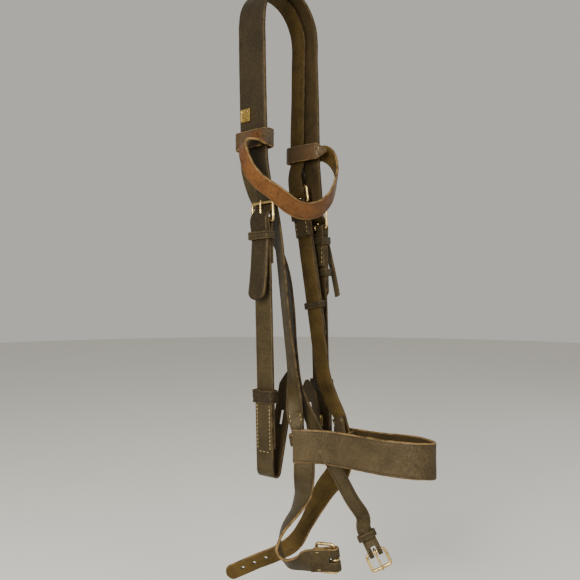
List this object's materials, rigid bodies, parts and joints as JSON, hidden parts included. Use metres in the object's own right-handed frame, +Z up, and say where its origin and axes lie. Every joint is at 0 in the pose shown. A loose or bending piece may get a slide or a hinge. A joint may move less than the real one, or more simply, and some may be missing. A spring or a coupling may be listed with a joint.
{
  "type": "bridle headstall",
  "caption": "Leather bridle headstall without a bit: crown strap, browband, buckled cheekpieces with open bit loops, cavesson noseband on its own sliphead, chin straps and throatlash.",
  "frame": {"origin": "middle of the crown's underside, where the bridle hangs on its hook or rests on the poll", "axes": "+Z up along the hanging cheekpieces, -Y towards the horse's nose, +X towards the horse's near side"},
  "size_m": [0.136, 0.2296, 0.6325],
  "materials": {
    "dark_leather": "waxed dark brown grain",
    "olive_leather": "waxed olive brown grain",
    "tan_leather": "smooth reddish tan grain",
    "grey_leather": "worn grey brown grain with a dull sheen",
    "flesh_side_leather": "golden brown flesh side, slightly rough",
    "brass": "aged polished brass"
  },
  "bodies": {
    "headpiece": {"headpiece": "dark_leather", "crown_plate": "brass", "sliphead": "flesh_side_leather", "near_nose_cheek": "flesh_side_leather", "slip_buckle_frame": "brass", "slip_buckle_tongue": "brass", "slip_keeper": "olive_leather", "off_cheekpiece": "olive_leather", "off_cheek_buckle_frame": "brass", "off_cheek_buckle_tongue": "brass", "off_cheek_keeper": "olive_leather", "off_bit_keeper": "dark_leather", "off_bit_strap": "olive_leather", "off_hook_stud": "brass", "near_cheekpiece": "olive_leather", "near_cheek_buckle_frame": "brass", "near_cheek_buckle_tongue": "brass", "near_cheek_keeper": "olive_leather", "near_bit_keeper": "dark_leather", "near_bit_strap": "olive_leather", "near_hook_stud": "brass"},
    "browband": {"browband": "tan_leather"},
    "noseband": {"noseband": "grey_leather", "off_nose_loop": "grey_leather", "near_nose_loop": "grey_leather"},
    "chin_strap": {"chin_strap": "olive_leather"},
    "chin_buckle_frame": {"chin_buckle_frame": "brass"},
    "chin_buckle_tongue": {"chin_buckle_tongue": "brass"},
    "chin_billet": {"chin_billet": "flesh_side_leather"},
    "throatlash": {"throatlash": "flesh_side_leather", "throat_keeper": "olive_leather"},
    "throat_buckle_frame": {"throat_buckle_frame": "brass"},
    "throat_buckle_tongue": {"throat_buckle_tongue": "brass"},
    "near_throat_billet": {"near_throat_billet": "flesh_side_leather"},
    "near_runner": {"near_runner": "olive_leather"},
    "slip_runner": {"slip_runner": "olive_leather"},
    "off_bit_return": {"off_bit_return": "olive_leather"},
    "near_bit_return": {"near_bit_return": "olive_leather"}
  },
  "joints": [
    {"name": "browband_slide", "type": "slide", "parent": "headpiece", "child": "browband", "axis": [0, 0, 1], "range_m": [0, 0.03]},
    {"name": "noseband_swing", "type": "hinge", "parent": "headpiece", "child": "noseband", "pos_m": [0.00085, -0.0615, -0.4625], "axis": [0.9337, -0.3222, -0.1559], "range_deg": [-6, 6]},
    {"name": "chin_strap_swing", "type": "hinge", "parent": "noseband", "child": "chin_strap", "pos_m": [-0.0313, -0.0625, -0.4806], "axis": [-0.5219, 0.853, 0], "range_deg": [-5, 12]},
    {"name": "chin_frame_pivot", "type": "hinge", "parent": "chin_strap", "child": "chin_buckle_frame", "pos_m": [-0.009, -0.084, -0.574], "axis": [-0.1147, 0.0716, 0.9908], "range_deg": [-75, 0]},
    {"name": "chin_tongue_pivot", "type": "hinge", "parent": "chin_buckle_frame", "child": "chin_buckle_tongue", "pos_m": [-0.009, -0.084, -0.574], "axis": [-0.1147, 0.0716, 0.9908], "range_deg": [-60, 0]},
    {"name": "chin_billet_swing", "type": "hinge", "parent": "noseband", "child": "chin_billet", "pos_m": [0.0376, -0.059, -0.491], "axis": [0.1203, 0.9927, 0], "range_deg": [-8, 12]},
    {"name": "throatlash_swing", "type": "hinge", "parent": "headpiece", "child": "throatlash", "pos_m": [-0.043, 0.0045, -0.1726], "axis": [0.417, -0.9089, 0], "range_deg": [0, 4]},
    {"name": "throat_frame_pivot", "type": "hinge", "parent": "throatlash", "child": "throat_buckle_frame", "pos_m": [0.0122, -0.1155, -0.5655], "axis": [0.574, -0.6838, 0.4505], "range_deg": [-40, 60]},
    {"name": "throat_tongue_pivot", "type": "hinge", "parent": "throat_buckle_frame", "child": "throat_buckle_tongue", "pos_m": [0.0122, -0.1155, -0.5655], "axis": [0.574, -0.6838, 0.4505], "range_deg": [-60, 0]},
    {"name": "near_throat_billet_swing", "type": "hinge", "parent": "headpiece", "child": "near_throat_billet", "pos_m": [0.043, 0.0045, -0.1726], "axis": [0, 1, 0], "range_deg": [-25, 0]},
    {"name": "near_runner_slide", "type": "slide", "parent": "headpiece", "child": "near_runner", "axis": [0, -0.03, -0.9996], "range_m": [-0.001, 0.022]},
    {"name": "slip_runner_slide", "type": "slide", "parent": "headpiece", "child": "slip_runner", "axis": [-0.01, -0.1739, -0.9847], "range_m": [-0.03, 0.03]},
    {"name": "off_bit_return_swing", "type": "hinge", "parent": "headpiece", "child": "off_bit_return", "pos_m": [-0.04235, -0.02756, -0.49589], "axis": [0, -0.9996, 0.03], "range_deg": [-4, 10]},
    {"name": "near_bit_return_swing", "type": "hinge", "parent": "headpiece", "child": "near_bit_return", "pos_m": [0.04235, -0.02756, -0.49589], "axis": [0, 0.9996, -0.03], "range_deg": [-4, 4]}
  ]
}
